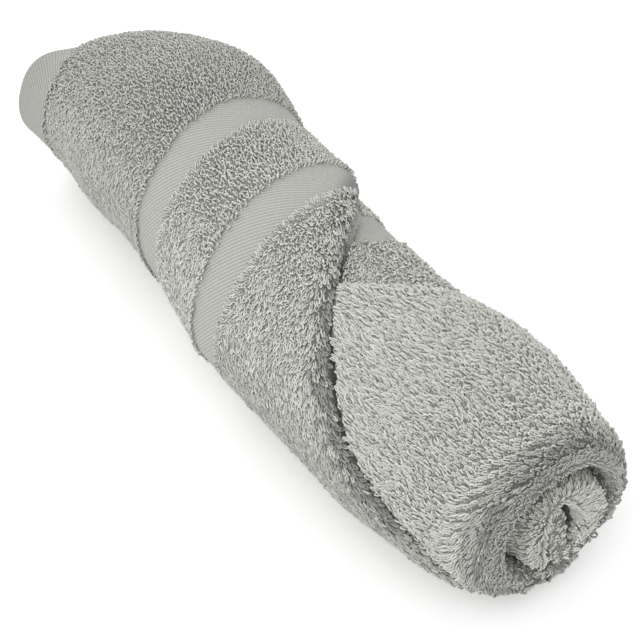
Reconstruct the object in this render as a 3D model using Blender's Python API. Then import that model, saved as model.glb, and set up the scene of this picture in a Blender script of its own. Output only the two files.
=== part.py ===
"""A terry hand towel, folded in half across its length and rolled up lengthways.

Metres, +Z up. The roll lies along X on the plane z = 0, with the two hems at the
-X end and the fold of the cloth, wound to a spiral, at the +X end. The origin is
at the middle of its footprint.

The whole roll is one solid. Its skin is a loft through unlike oval sections,
closed at both ends by the wound edges of the cloth. Every point of the skin has
three coordinates: how far along the roll it lies, counted from the hems; its
reach, a share of the section's radius, 1 on the side and 0 at an end's middle;
and its turn, the angle round the section from +Y over the top.
"""

import math

import bmesh
import bpy
import numpy as np

NAME = "rolled_towel"
CLOTH_COLOUR = (0.42, 0.44, 0.40)
CLOTH_ROUGHNESS = 0.95

# The towel: flat-woven bands lie lower than the looped pile, and the hem, which is
# folded double, only a little.
HEM_WIDTH = 0.0195
HEM_RECESS = 0.0007
BAND_START = 0.1404
BAND_WIDTH = 0.0200
BAND_SPACING = 0.0588
PILE_HEIGHT = 0.0020
EDGE_OF_PILE = 0.0024

# The outer turn ends in a corner folded under on the bias, with a free side edge
# underneath. Past the bias fold shows a tongue of cloth, and past that the turn
# below, on which the woven stripes lie further along the roll. The tongue's edge is
# firm on top of the roll and softer towards its side.
FLAP_OVER_TURN = 0.0075
TONGUE_OVER_TURN = 0.0030
SOFTER_BEFORE = math.radians(60)
SOFTER_OVER = math.radians(50)
SOFT_TONGUE_EDGE = 0.0260
BIAS = math.radians(45)
LAYER_EDGE = 0.0050
LOWER_STRIPES_FURTHER = 0.0245
FREE_EDGE_TURN = math.radians(320)
FREE_EDGE_DIP = math.radians(75)

# How the roll leans: its rings are not quite square to its length.
RING_LEAN = -0.16

# The sections of the roll, up to the crest of its near rim.
# along, half width, half height, sideways shift, height of the lowest point
SECTIONS = (
    (0.0000, 0.0278, 0.0318, -0.0283, 0.0144),
    (0.0100, 0.0340, 0.0365, -0.0193, 0.0088),
    (0.0220, 0.0401, 0.0422, -0.0103, 0.0038),
    (0.0430, 0.0478, 0.0488, -0.0033, 0.0003),
    (0.0756, 0.0552, 0.0554, 0.0010, -0.0020),
    (0.1080, 0.0581, 0.0586, 0.0036, -0.0020),
    (0.1404, 0.0562, 0.0564, 0.0007, -0.0030),
    (0.1728, 0.0563, 0.0544, -0.0020, -0.0030),
    (0.2052, 0.0570, 0.0546, -0.0043, -0.0030),
    (0.2376, 0.0563, 0.0522, -0.0033, -0.0030),
    (0.2808, 0.0534, 0.0528, -0.0029, -0.0030),
    (0.3020, 0.0539, 0.0520, -0.0010, -0.0030),
    (0.3240, 0.0528, 0.0511, 0.0028, -0.0030),
    (0.3500, 0.0504, 0.0485, 0.0063, -0.0040),
    (0.3780, 0.0566, 0.0480, 0.0088, -0.0065),
)

# The bias fold and the tongue's upper edge: turn in degrees, along.
BIAS_FOLD = (
    (-40, 0.1500),
    (0, 0.1850),
    (45, 0.2150),
    (64, 0.2270),
    (80, 0.2375),
    (90, 0.2435),
    (103, 0.2523),
    (113, 0.2593),
    (125, 0.2675),
    (136, 0.2765),
    (148, 0.2857),
    (162, 0.2990),
    (168, 0.3085),
    (176, 0.3210),
    (182, 0.3285),
    (188, 0.3375),
    (200, 0.3470),
    (230, 0.3620),
    (320, 0.3660),
)
TONGUE_EDGE = (
    (-40, 0.3000),
    (20, 0.2990),
    (51, 0.2924),
    (70, 0.2805),
    (82, 0.2735),
    (90, 0.2675),
    (104, 0.2540),
    (320, 0.2540),
)

# A hollow in the lower front of the far end, where the hems draw in.
HOLLOW_DEPTH = 0.0045
HOLLOW_TURN = math.radians(215)
HOLLOW_WIDTH = math.radians(60)
HOLLOW_LENGTH = 0.0320

# The near end: a round shoulder up to a rim, tipped back at the top, and inside
# it the groove of the spiral, which the cloth crosses in one place, and the core.
# Reaches, and widths across the end, are shares of the section's radius.
RIM_ALONG = 0.3675
SHOULDER_LENGTH = 0.0370
RIM_REACH = 0.70
END_LEAN_SIDE = 0.10
END_LEAN_UP = -0.31
END_LEAN_FROM = 0.300
END_LEAN_OVER = 0.090
CORE_SIDEWAYS = 0.0037
CORE_UP = -0.0045
CORE_BULGE = 0.0050
CORE_REACH = 0.42
GROOVE_REACH = 0.50
GROOVE_WIDTH = 0.13
GROOVE_DEPTH = 0.0130
CLOTH_CROSSES_AT = math.radians(300)
CLOTH_CROSSES_OVER = math.radians(60)
CROSSING_RISE = 0.5
CREASE_DEPTH = 0.0050
CREASE_WIDTH = 0.11
# across the core, bow
CREASES = (
    (-0.20, 1.2),
    (0.08, 0.0),
)

# The far end: the hems' wound edges, with a spiral groove between them, a little
# deeper towards the middle.
FAR_EDGE_LENGTH = 0.0015
FAR_EDGE_REACH = 0.97
FAR_RIM_REACH = 0.80
FAR_RIM_WIDTH = 0.20
FAR_HEART_REACH = 0.12
FAR_ROUND = 0.0015
FAR_PITCH = 0.30
FAR_GROOVE_WIDTH = 0.13
FAR_GROOVE_DEPTH = 0.0070
FAR_SINK = 0.0060

# Soft unevenness of the pressed cloth: height, waves along, waves round, phase.
LUMPS = (
    (0.0007, 21.0, 2, 0.4),
    (0.0005, 39.0, 3, 2.1),
    (0.0004, 62.0, 5, 4.0),
)

# The middle of the footprint, counted from the hems and from the sections' middle.
MIDDLE_ALONG = 0.1858
MIDDLE_SIDEWAYS = 0.0004

# The mesh: columns round, and rows along the side and over the two ends.
COLUMNS = 64
ROW_SPACING_FAR = 0.0100
ROW_SPACING_NEAR = 0.0068
CLOSE_ROWS_FROM = 0.1900
CLEAR_OF_EDGE = 0.0034
SHOULDER_ROWS = 5
NEAR_FACE_ROWS = 11
FAR_FACE_ROWS = 7


def start_clean():
    for thing in list(bpy.context.scene.objects):
        bpy.data.objects.remove(thing, do_unlink=True)


def fabric(name, colour, roughness):
    material = bpy.data.materials.new(name)
    material.use_nodes = True
    shader = material.node_tree.nodes["Principled BSDF"]
    shader.inputs["Base Color"].default_value = (*colour, 1.0)
    shader.inputs["Roughness"].default_value = roughness
    shader.inputs["Metallic"].default_value = 0.0
    return material


def soft_step(distance, width):
    """0 well before zero, 1 well after it, and a smooth rise of that width between."""
    share = np.clip(distance / width + 0.5, 0.0, 1.0)
    return share * share * (3.0 - 2.0 * share)


def bump(distance, width):
    """A smooth hump round zero, 1 high, that ends a width away on both sides."""
    share = np.clip(1.0 - np.abs(distance) / width, 0.0, 1.0)
    return share * share * (3.0 - 2.0 * share)


def section(along):
    """Half width, half height, sideways shift and lowest point at a place on the roll."""
    table = np.array(SECTIONS)
    places = table[:, 0]
    at = np.clip(along, places[0], places[-1])
    row = np.clip(np.searchsorted(places, at, side="right") - 1, 0, len(places) - 2)
    gap = places[row + 1] - places[row]
    share = (at - places[row]) / gap
    start_weight = (1 + 2 * share) * (1 - share) ** 2
    found = []
    for column in range(1, table.shape[1]):
        values = table[:, column]
        slopes = np.gradient(values, places)
        found.append(
            start_weight * values[row]
            + (1 - start_weight) * values[row + 1]
            + share * (1 - share) ** 2 * gap * slopes[row]
            - share**2 * (1 - share) * gap * slopes[row + 1]
        )
    return found


def from_free_edge(turn):
    """The same turns, counted on from the free edge."""
    first = FREE_EDGE_TURN - 2 * math.pi
    return np.mod(turn - first, 2 * math.pi) + first


def edge_at(turn, table):
    """Where an edge of the cloth lies along the roll, for each turn."""
    degrees, places = np.array(table, dtype=float).T
    return np.interp(np.degrees(turn), degrees, places)


def recess(along):
    """How far the cloth lies below the top of its pile, in the hem and the two bands."""
    depth = HEM_RECESS * (1.0 - soft_step(along - HEM_WIDTH, EDGE_OF_PILE))
    for start in (BAND_START, BAND_START + BAND_SPACING):
        rise = soft_step(along - start, EDGE_OF_PILE)
        fall = soft_step(along - start - BAND_WIDTH, EDGE_OF_PILE)
        depth = depth + PILE_HEIGHT * (rise - fall)
    return depth


def relief(along, turn):
    """How far the skin stands above the sections' ovals, which follow the outer turn's pile."""
    turn = from_free_edge(turn)
    across_fold = (along - edge_at(turn, BIAS_FOLD)) * math.cos(BIAS)
    past_fold = soft_step(across_fold, LAYER_EDGE)
    firm = soft_step(turn - SOFTER_BEFORE, SOFTER_OVER)
    tongue_edge = SOFT_TONGUE_EDGE + (LAYER_EDGE - SOFT_TONGUE_EDGE) * firm
    on_tongue = soft_step(along - edge_at(turn, TONGUE_EDGE), tongue_edge)
    below = -FLAP_OVER_TURN + TONGUE_OVER_TURN * on_tongue
    lower_recess = recess(along - LOWER_STRIPES_FURTHER) * (1.0 - on_tongue)
    recessed = recess(along) * (1.0 - past_fold) + lower_recess * past_fold
    dip = np.clip(1.0 - (FREE_EDGE_TURN - turn) / FREE_EDGE_DIP, 0.0, 1.0) ** 2 * (1.0 - past_fold)
    height = past_fold * below - recessed - FLAP_OVER_TURN * dip
    hollow = 1.0 - soft_step(along - HOLLOW_LENGTH / 2, HOLLOW_LENGTH)
    height = height - HOLLOW_DEPTH * hollow * bump(turn - HOLLOW_TURN, HOLLOW_WIDTH)
    for size, waves_along, waves_round, phase in LUMPS:
        height = height + size * np.sin(waves_along * along + waves_round * turn + phase)
    return height


def skin(along, reach, turn, face_depth=0.0):
    """Points of the roll's skin, as an array of x, y, z rows."""
    half_width, half_height, sideways, lowest = section(along)
    height = relief(along, turn) * reach
    across = (half_width * reach + height) * np.cos(turn)
    upward = (half_height * reach + height) * np.sin(turn)
    at_end = soft_step(along - END_LEAN_FROM - END_LEAN_OVER / 2, END_LEAN_OVER)
    ring_lean = RING_LEAN * across * (1.0 - at_end)
    end_lean = (END_LEAN_SIDE * across + END_LEAN_UP * upward) * at_end
    x = along + ring_lean + end_lean + face_depth - MIDDLE_ALONG
    y = sideways + across - MIDDLE_SIDEWAYS
    z = np.maximum(lowest + half_height + upward, 0.0)
    return np.stack([x, y, z], axis=-1)


def near_depth(reach, turn):
    """How deep the near end's face lies behind its rim: a groove round a bulging, creased core."""
    from_crossing = np.mod(turn - CLOTH_CROSSES_AT + math.pi, 2 * math.pi) - math.pi
    crossing = CROSSING_RISE * bump(from_crossing, CLOTH_CROSSES_OVER)
    depth = GROOVE_DEPTH * bump(reach - GROOVE_REACH, GROOVE_WIDTH) * (1.0 - crossing)
    depth = depth - CORE_BULGE * (1.0 - (reach / RIM_REACH) ** 2)
    in_core = soft_step(CORE_REACH - reach, GROOVE_WIDTH)
    sideways = reach * np.cos(turn)
    upward = reach * np.sin(turn)
    for offset, bow in CREASES:
        line = sideways - offset - bow * upward**2
        depth = depth + CREASE_DEPTH * in_core * bump(line, CREASE_WIDTH)
    return depth


def far_depth(reach, turn):
    """How deep the wound hems lie behind the far rim: a spiral groove over a shallow cone."""
    turned = np.mod(turn - FREE_EDGE_TURN, 2 * math.pi) / (2 * math.pi)
    nearest = (reach - FAR_PITCH * turned + 0.5 * FAR_PITCH) % FAR_PITCH - 0.5 * FAR_PITCH
    inside_rim = soft_step(FAR_RIM_REACH - reach, FAR_RIM_WIDTH)
    outside_heart = soft_step(reach - FAR_HEART_REACH, FAR_RIM_WIDTH)
    groove = FAR_GROOVE_DEPTH * bump(nearest, FAR_GROOVE_WIDTH) * outside_heart
    return FAR_ROUND + (groove + FAR_SINK * (1.0 - reach)) * inside_rim


def side_rows():
    """Places along the side, closer together at each edge of the pile and past the fold."""
    end = RIM_ALONG - SHOULDER_LENGTH
    far = np.arange(ROW_SPACING_FAR, CLOSE_ROWS_FROM, ROW_SPACING_FAR)
    near = np.arange(CLOSE_ROWS_FROM, end, ROW_SPACING_NEAR)
    places = list(far) + list(near)
    edges = [HEM_WIDTH]
    for start in (BAND_START, BAND_START + BAND_SPACING):
        edges += [start, start + BAND_WIDTH]
    for edge in edges:
        places = [place for place in places if abs(place - edge) > CLEAR_OF_EDGE]
        places += [edge - EDGE_OF_PILE / 2, edge + EDGE_OF_PILE / 2]
    return sorted(places) + [end]


def rings():
    """The rings of the mesh, from the far end's middle to the near end's middle."""
    turn = np.arange(COLUMNS) * (2 * math.pi / COLUMNS)
    made = []
    for row in range(1, FAR_FACE_ROWS + 1):
        reach = row / (FAR_FACE_ROWS + 1)
        made.append(skin(np.zeros(COLUMNS), reach, turn, far_depth(reach, turn)))
    made.append(skin(np.zeros(COLUMNS), FAR_EDGE_REACH, turn))
    made.append(skin(np.full(COLUMNS, FAR_EDGE_LENGTH), 1.0, turn))
    for place in side_rows():
        made.append(skin(np.full(COLUMNS, place), 1.0, turn))
    for row in range(1, SHOULDER_ROWS + 1):
        angle = row / SHOULDER_ROWS * math.pi / 2
        along = RIM_ALONG - SHOULDER_LENGTH * (1.0 - math.sin(angle))
        reach = RIM_REACH + (1.0 - RIM_REACH) * math.cos(angle)
        made.append(skin(np.full(COLUMNS, along), reach, turn))
    for row in range(1, NEAR_FACE_ROWS + 1):
        reach = RIM_REACH * (1.0 - row / (NEAR_FACE_ROWS + 1))
        ring = skin(np.full(COLUMNS, RIM_ALONG), reach, turn, -near_depth(reach, turn))
        towards_core = min(1.0, (RIM_REACH - reach) / (RIM_REACH - GROOVE_REACH))
        ring[:, 1] += CORE_SIDEWAYS * towards_core
        ring[:, 2] += CORE_UP * towards_core
        made.append(ring)
    return made


def loft(mesh, made):
    """Joins the rings with triangles whose long side runs along the bias fold."""
    rows = [[mesh.verts.new(point) for point in ring] for ring in made]
    for lower, upper in zip(rows, rows[1:]):
        for i in range(COLUMNS):
            j = (i + 1) % COLUMNS
            mesh.faces.new((lower[i], lower[j], upper[j]))
            mesh.faces.new((lower[i], upper[j], upper[i]))
    for ring, row in ((made[0], rows[0]), (made[-1], rows[-1])):
        pole = mesh.verts.new(ring.mean(axis=0))
        for i in range(COLUMNS):
            mesh.faces.new((row[i], row[(i + 1) % COLUMNS], pole))


def rolled_towel(collection):
    mesh = bmesh.new()
    loft(mesh, rings())
    bmesh.ops.recalc_face_normals(mesh, faces=mesh.faces)
    data = bpy.data.meshes.new(NAME)
    mesh.to_mesh(data)
    mesh.free()
    data.shade_smooth()
    data.materials.append(fabric("sage_terry", CLOTH_COLOUR, CLOTH_ROUGHNESS))
    roll = bpy.data.objects.new(NAME, data)
    collection.objects.link(roll)
    return roll


def main():
    start_clean()
    collection = bpy.data.collections.new("rolled_hand_towel")
    bpy.context.scene.collection.children.link(collection)
    rolled_towel(collection)


main()
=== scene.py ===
import math

import bpy
import numpy as np
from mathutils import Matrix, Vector


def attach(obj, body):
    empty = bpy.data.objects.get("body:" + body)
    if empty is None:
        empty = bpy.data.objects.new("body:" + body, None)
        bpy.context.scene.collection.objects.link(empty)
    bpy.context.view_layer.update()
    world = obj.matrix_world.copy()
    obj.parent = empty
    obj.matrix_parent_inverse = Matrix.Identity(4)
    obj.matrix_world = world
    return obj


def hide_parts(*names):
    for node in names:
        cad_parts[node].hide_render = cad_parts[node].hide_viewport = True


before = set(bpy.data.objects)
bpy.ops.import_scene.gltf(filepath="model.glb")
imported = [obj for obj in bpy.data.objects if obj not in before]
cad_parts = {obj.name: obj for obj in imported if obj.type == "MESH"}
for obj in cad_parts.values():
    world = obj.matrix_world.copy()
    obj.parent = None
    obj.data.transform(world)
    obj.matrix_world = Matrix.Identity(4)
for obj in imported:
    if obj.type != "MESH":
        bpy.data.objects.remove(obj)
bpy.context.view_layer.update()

# A rolled terry hand towel: one sheet of cloth with flat-woven hems and bands, the
# looped pile on it, a pale floor, soft light and the camera. Metres, +Z up.
# Places on the roll are given as in the part: along from the hems, reach as a share
# of the section's radius, and turn as the angle round from +Y over the top. A place
# on the skin is the distance over it: along the side, over the shoulder and across
# the near end to its middle.

# The cloth, and the radius at which a turn of it is measured out flat.
HEM_WIDTH = 0.0195
HEM_RECESS = 0.0007
BAND_START = 0.1404
BAND_WIDTH = 0.02
BAND_SPACING = 0.0588
SIDE_HEM = 0.008
PILE_HEIGHT = 0.002
PILE_GROUND = 0.0015
EDGE_OF_PILE = 0.0008
CLOTH_RADIUS = 0.055

# The layers: the flap, the tongue and the turn below them.
FLAP_OVER_TURN = 0.0075
TONGUE_OVER_TURN = 0.003
SOFTER_BEFORE = math.radians(60)
SOFTER_OVER = math.radians(50)
SOFT_TONGUE_EDGE = 0.026
LAYER_EDGE = 0.0012
CREASE_DIP = 0.0046
CREASE_DIP_AT = 0.001
CREASE_DIP_WIDTH = 0.0015
FOLD_ROUND = 0.0078
FOLD_DROP = 0.0034
TONGUE_ROUND = 0.006
TONGUE_PRESSED = 0.0006
BIAS = math.radians(45)
FREE_EDGE_TURN = math.radians(320)
FREE_EDGE_DIP = math.radians(75)
RING_LEAN = -0.16

# along, half width, half height, sideways shift, height of the lowest point
SECTIONS = (
    (0.0000, 0.0278, 0.0318, -0.0283, 0.0144),
    (0.0100, 0.0340, 0.0365, -0.0193, 0.0088),
    (0.0220, 0.0401, 0.0422, -0.0103, 0.0038),
    (0.0430, 0.0478, 0.0488, -0.0033, 0.0003),
    (0.0756, 0.0552, 0.0554, 0.0010, -0.0020),
    (0.1080, 0.0581, 0.0586, 0.0036, -0.0020),
    (0.1404, 0.0562, 0.0564, 0.0007, -0.0030),
    (0.1728, 0.0563, 0.0544, -0.0020, -0.0030),
    (0.2052, 0.0570, 0.0546, -0.0043, -0.0030),
    (0.2376, 0.0563, 0.0522, -0.0033, -0.0030),
    (0.2808, 0.0534, 0.0528, -0.0029, -0.0030),
    (0.3020, 0.0539, 0.0520, -0.0010, -0.0030),
    (0.3240, 0.0528, 0.0511, 0.0028, -0.0030),
    (0.3500, 0.0504, 0.0485, 0.0063, -0.0040),
    (0.3780, 0.0566, 0.0480, 0.0088, -0.0065),
)

# turn in degrees, along
BIAS_FOLD = (
    (-40, 0.15), (0, 0.185), (45, 0.215), (64, 0.227), (80, 0.2375), (90, 0.2435), (103, 0.2523),
    (113, 0.2593), (125, 0.2675), (136, 0.2765), (148, 0.2857), (162, 0.299), (168, 0.3085), (176, 0.321),
    (182, 0.3285), (188, 0.3375), (200, 0.347), (230, 0.362), (320, 0.366),
)
TONGUE_EDGE = (
    (-40, 0.3), (20, 0.299), (51, 0.2924), (70, 0.2805), (82, 0.2735), (90, 0.2675), (104, 0.254),
    (320, 0.254),
)
# turn in degrees, how much further along the stripes of the turn below lie
LOWER_STRIPES = (
    (-40, 0.025), (46, 0.0252), (63, 0.025), (72, 0.0238), (82, 0.0212), (100, 0.017), (320, 0.017),
)
# turn in degrees, how far past the bias fold the crease under it is open, how dark its ground is painted
# as shade
CREASE = (
    (75, 0.0002, 0.3), (95, 0.0006, 0.4), (110, 0.0016, 0.9), (125, 0.0022, 1.0), (155, 0.0028, 1.0),
    (180, 0.0026, 1.0),
)

# The hollow at the far end, low in front.
HOLLOW_DEPTH = 0.0045
HOLLOW_TURN = math.radians(215)
HOLLOW_WIDTH = math.radians(60)
HOLLOW_LENGTH = 0.032

# The near end: a shoulder, then a face with a groove round a bulging core.
RIM_ALONG = 0.3675
SHOULDER_LENGTH = 0.037
SHOULDER_ARC = 0.05
FACE_ARC = 0.036
RIM_REACH = 0.7
END_LEAN_SIDE = 0.1
END_LEAN_UP = -0.31
END_LEAN_FROM = 0.3
END_LEAN_OVER = 0.09
CORE_SIDEWAYS = 0.0037
CORE_UP = -0.0045
CORE_BULGE = 0.005
CORE_REACH = 0.42
GROOVE_REACH = 0.5
GROOVE_WIDTH = 0.11
GROOVE_DEPTH = 0.0145
CLOTH_CROSSES_AT = math.radians(300)
CLOTH_CROSSES_OVER = math.radians(60)
CROSSING_RISE = 0.5
# The crease of the core is an arch: its middle, half its width, its height, where it fades
# out downwards, and its depth on the left and on the right.
ARCH_MIDDLE = -0.07
ARCH_HALF_WIDTH = 0.14
ARCH_HEIGHT = 0.27
ARCH_FOOT = -0.3
ARCH_FADE = 0.2
ARCH_DEPTHS = (0.0045, 0.008)
CREASE_WIDTH = 0.06
PATCH_DEPTH = 0.003
PATCH_SOFT = 0.08

# height, waves along, waves round, phase
LUMPS = ((0.0007, 21.0, 2, 0.4), (0.0005, 39.0, 3, 2.1), (0.0004, 62.0, 5, 4.0))

MIDDLE_ALONG = 0.1858
MIDDLE_SIDEWAYS = 0.0004
FLOOR_CLEARANCE = 0.0003

BAND_STARTS = (BAND_START, BAND_START + BAND_SPACING)
BAND_ENDS = (BAND_START + BAND_WIDTH, BAND_START + BAND_SPACING + BAND_WIDTH)
SIDE_END = RIM_ALONG - SHOULDER_LENGTH
FACE_START = SIDE_END + SHOULDER_ARC
SKIN_END = FACE_START + FACE_ARC
GROOVE_PLACE = SKIN_END - FACE_ARC * GROOVE_REACH / RIM_REACH
FIRST_TURN = FREE_EDGE_TURN - 2 * math.pi

# The cloth's mesh. Its rows are drawn together at the bias fold.
ROW_SPACING = 0.0016
FACE_ROW_SPACING = 0.0009
COLUMNS = 216
DRAWN_SHARE = 0.7
DRAWN_OVER = 0.01
TINY = 1e-6

# Where the ground of the cloth is dark: painted shade in the crease, beside the bias fold, at the near end
# and in the groove.
CREASE_MIDDLE = 0.0009
CREASE_SHADE_WIDTH = 0.003
FOLD_GROUND = 0.75
FOLD_GROUND_WIDTH = 0.008
END_GROUND = 0.6
GROOVE_GROUND = 0.7

# The half that is folded inside: along, how far in from the outer side.
INNER_ROWS = (
    (-0.0009, 0.0008), (-0.001, 0.0016), (0.0006, 0.0025), (0.005, 0.0027), (0.014, 0.003),
    (0.03, 0.0035), (0.06, 0.004), (0.1, 0.004), (0.15, 0.004), (0.2, 0.004),
    (0.25, 0.004), (0.3, 0.004), (0.34, 0.004),
)

# The wound hems: two ribbons. Reach and half thickness are shares of the section's radius.
WOUND_TURNS = 3.3
WOUND_STEPS = 64
WOUND_MIDDLE = 0.07
WOUND_LEAST = 0.01
WOUND_RADIUS = 0.03
WOUND_HALF = 0.04
# place across a ribbon as a share of half its thickness, along
WOUND_SECTION = (
    (1.0, 0.03), (1.0, 0.012), (1.0, 0.0025), (0.6, 0.0006), (0.0, 0.0), (-0.6, 0.0006),
    (-1.0, 0.0025), (-1.0, 0.012), (-1.0, 0.03),
)
# for each ribbon: reach of its outer end, how much further in its edge lies, phase
WOUND_RIBBONS = ((0.85, 0.0012, 0.3), (0.755, 0.0034, 2.0))
# size, radians of the wave for each radian of turn
REACH_RIPPLES = (0.012, 2.3)
EDGE_RIPPLES = (0.0009, 1.7)
FINE_EDGE_RIPPLES = (0.0006, 4.1)

# The pile: loops in columns along the roll, at even steps of cloth. They are finer on
# the upper side, round the turn that is looked at.
PILE_SEED = 7
FINE_PITCH = 0.00163
COARSE_PITCH = 0.0027
LOOKED_AT_TURN = math.radians(117)
FINE_OVER = math.radians(105)
FINE_FADE = math.radians(30)
# Small steps over the skin place the loops, which are then scattered and kept off the edges.
TURN_SAMPLES = 4000
WALK_STEP = 0.0004
WALK_TURN = 0.01
WALK_END = 0.001
SCATTER = 0.14
ROOM_AT_HEM = 0.0007
ROOM_AT_MIDDLE = 0.0008
TURN_AT_EDGE = 0.001
BARE_EDGE = 0.0004
# Steps of an even spread over two directions, for leaving out loops.
EVEN_ORDER = (0.754877666, 0.569840296)

# One loop: its size, how far its arc is open at the foot, and how finely it is drawn.
LOOP_SIZES = {"Loop Width": 0.00125, "Loop Height": 0.0031, "Yarn Radius": 0.00035}
LOOP_OPENS = 1.05
LOOP_STEPS = 6
YARN_SIDES = 3
FOOT_SUNK = 0.0005
# Steps that give the skin's directions.
FRAME_STEP = 0.0006
FRAME_RADIUS = 0.05
SHORTEST = 1e-12
# bend, twist, share of the loop's width: open loops first, then loops that are wound up
LOOP_SHAPES = (
    (0.1, 0.2, 1.0), (0.3, -0.4, 1.0), (0.45, 0.5, 1.0), (0.2, -0.8, 1.0),
    (0.15, 0.3, 0.72), (0.3, -0.35, 0.68), (0.4, 0.15, 0.76),
)
OPEN_SHAPES = 4

# The parts of the pile. The near end and those after it are stretches of the first four.
FLAP, OUTER, TONGUE, BELOW, NEAR_END, FOLD_SIDE, CORE, STRIP = range(8)

# How the pile lies: turn in degrees, lean from upright, heading from along towards round.
OUTER_LAY = (
    (-40, 0.8, 1.4), (60, 0.7, 1.5), (82, 0.62, 1.4), (100, 0.6, 0.9), (120, 0.6, 0.8),
    (145, 0.7, 0.8), (165, 0.9, 0.6), (180, 1.2, 0.3), (320, 1.0, 0.3),
)
FLAP_LAY = (
    (-40, 0.75, 0.5), (90, 0.7, 0.5), (105, 0.65, 0.5), (120, 0.7, 1.0), (145, 0.85, 1.0),
    (165, 1.0, 0.8), (185, 1.3, 0.4), (320, 1.0, 0.3),
)
TONGUE_LAY = (
    (-40, 0.9, 2.0), (60, 0.9, 2.2), (90, 0.88, 2.6), (120, 0.9, 3.1), (150, 0.95, 3.5),
    (320, 0.95, 3.5),
)
LOWER_LAY = ((-40, 0.85, 0.9), (60, 0.9, 0.9), (100, 0.95, 0.6), (320, 0.95, 0.6))
END_LAY = (
    (-40, 0.95, 2.0), (20, 0.95, 2.2), (60, 0.95, 2.1), (90, 0.9, 2.3), (120, 0.9, 2.3),
    (150, 0.95, 1.95), (180, 0.95, 1.75), (210, 0.95, 1.8), (320, 0.95, 2.0),
)
END_LAY_FROM = 0.352
END_LAY_OVER = 0.018
END_CROWDED = 0.9
# For the flap, the outer turn, the tongue, the turn below and the near end: spread of the
# heading, length, spread of each loop's turn on its own axis, and thickness.
LAY_SPREAD = (
    (0.28, 0.85, 0.5, 1.08), (0.24, 0.7, 0.5, 1.18), (0.16, 0.95, 0.7, 1.1), (0.28, 0.85, 0.5, 1.1),
    (0.09, 0.98, 0.2, 1.25),
)
# Uneven growth: waves over the cloth, and chance for each loop.
WAVE_COUNT = 6
WAVE_PITCHES = (0.012, 0.035)
LEAN_WAVES = 0.08
LEAN_SPREAD = 0.07
HEADING_SPREAD = 0.5
LENGTH_SPREAD = 0.1
WIDTH_SPREAD = 0.08
LEAN_LIMITS = (-0.2, 1.4)
LENGTH_LIMITS = (0.6, 1.5)
OPEN_SHARE = 0.25
# On the outer turn the loops stand in rows along the roll, from its back up to this turn,
# and past it fewer and fewer do. Between the bands they lean more.
ROWS_TO = math.radians(130)
ROWS_OVER = math.radians(50)
STRIP_LEAN = 0.12
# At the edge of the pile the loops stand up, and past a band they hang over it.
UPRIGHT_EDGE = 0.004
OVER_BAND = 0.005
# On the core the pile points away from the crease and partly outwards, and on the patch
# inside it is combed one way. The right of the crease is bare past the last share of its depth.
COMBED = (0.6, 0.8)
CORE_LEAN = 0.95
GROOVE_LEAN = 0.8
PATCH_LEAN = 1.2
PATCH_LENGTH = 0.75
LIP_LENGTH = 0.75
CORE_THICKNESS = 0.85
CORE_CROWDED = 1.25
CORE_STEP = 0.01
OUTWARD_SHARE = 0.6
SLIT_DEPTH = 0.6
# Beside the bias fold, turn in degrees: how crowded the loops are, their lean, how much
# further along the roll they point, and how far from the fold their yarn is painted shade.
FOLD_LAY = (
    (-40, 0.9, 0.95, 0.0, 0.0045), (110, 0.9, 0.95, 0.0, 0.0045), (130, 0.9, 0.98, 0.0, 0.0055),
    (150, 1.0, 0.92, 0.1, 0.01), (165, 1.2, 0.9, 0.3, 0.013), (185, 1.2, 0.9, 0.35, 0.013),
    (320, 1.2, 0.9, 0.35, 0.013),
)
# distance from the bias fold, heading of the flap's pile
FOLD_HEADINGS = ((0.0, 0.45), (0.006, 0.75), (0.013, 1.0))
FOLD_PILE = 0.014
FOLD_LARGER = 0.18
FOLD_STEADIER = 0.6
FOLD_OPENS_AT = 0.3
# In the crease the tongue's loops are pressed short and upright, and its edge is ragged.
CREASE_STARTS = -0.0004
PRESSED_AT_FOLD = 0.004
PRESSED_UPRIGHT = 0.4
PRESSED_SHORTER = 0.45
PRESSED_SPREAD = 0.8
RAGGED_SHARE = 0.35
RAGGED_EDGE = 0.0014
# Loops whose feet are as low as this, on skin that faces down, are left out.
LOW_FOOT = 0.0022
FACES_DOWN = -0.3

# The yarns: a lighter, a plain and a darker tone of one yarn, and a dark yarn that is painted
# shade. For each part of the pile the share of the lightest and of the darkest: the tones are
# drawn at random, and the shares set by part paint light and shade.
LIGHT, PLAIN, DARK, PAINTED_SHADE_YARN = range(4)
YARNS = (
    ("yarn_light_tone_and_painted_light", (0.7, 0.705, 0.655)), ("yarn", (0.61, 0.615, 0.575)),
    ("yarn_dark_tone_and_painted_shade", (0.52, 0.525, 0.49)), ("yarn_painted_shade", (0.34, 0.345, 0.325)),
)
YARN_SHARES = (
    (0.5, 0.0), (0.0, 0.6), (0.9, 0.0), (0.3, 0.2), (0.0, 1.0), (0.3, 0.3), (1.0, 0.0), (0.25, 0.05),
)
# How far from the bias fold the flap's pile is crowded and has its own yarns, with more painted shade.
DARKER_FOLD = 0.009
# Width of the rim whose loops get the painted-shade yarn, and the share of its loops.
SHADED_RIM = (0.01, 0.75)
# Low on the side that is looked at the yarn is darker, painted shade: from which turn, over how much,
# share.
DARKER_LOW = (math.radians(165), math.radians(40), 0.95)
# The groove's pile gets the painted-shade yarn on the upper left: at which turn, how far round, which
# share.
SHADED_GROOVE = (math.radians(160), math.radians(100), 0.65)

# The pieces of the pile: what is in front, and where the near end's piece starts.
FRONT_TURNS = (math.radians(100), math.radians(235))
END_PIECE_FROM = 0.6
# What a loop's point carries: the kind of the attribute, and the name of its values.
FIELDS = {
    "stand": ("FLOAT_VECTOR", "vector"), "across": ("FLOAT_VECTOR", "vector"),
    "scale": ("FLOAT_VECTOR", "vector"), "shape": ("INT", "value"), "shade": ("INT", "value"),
}

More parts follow.
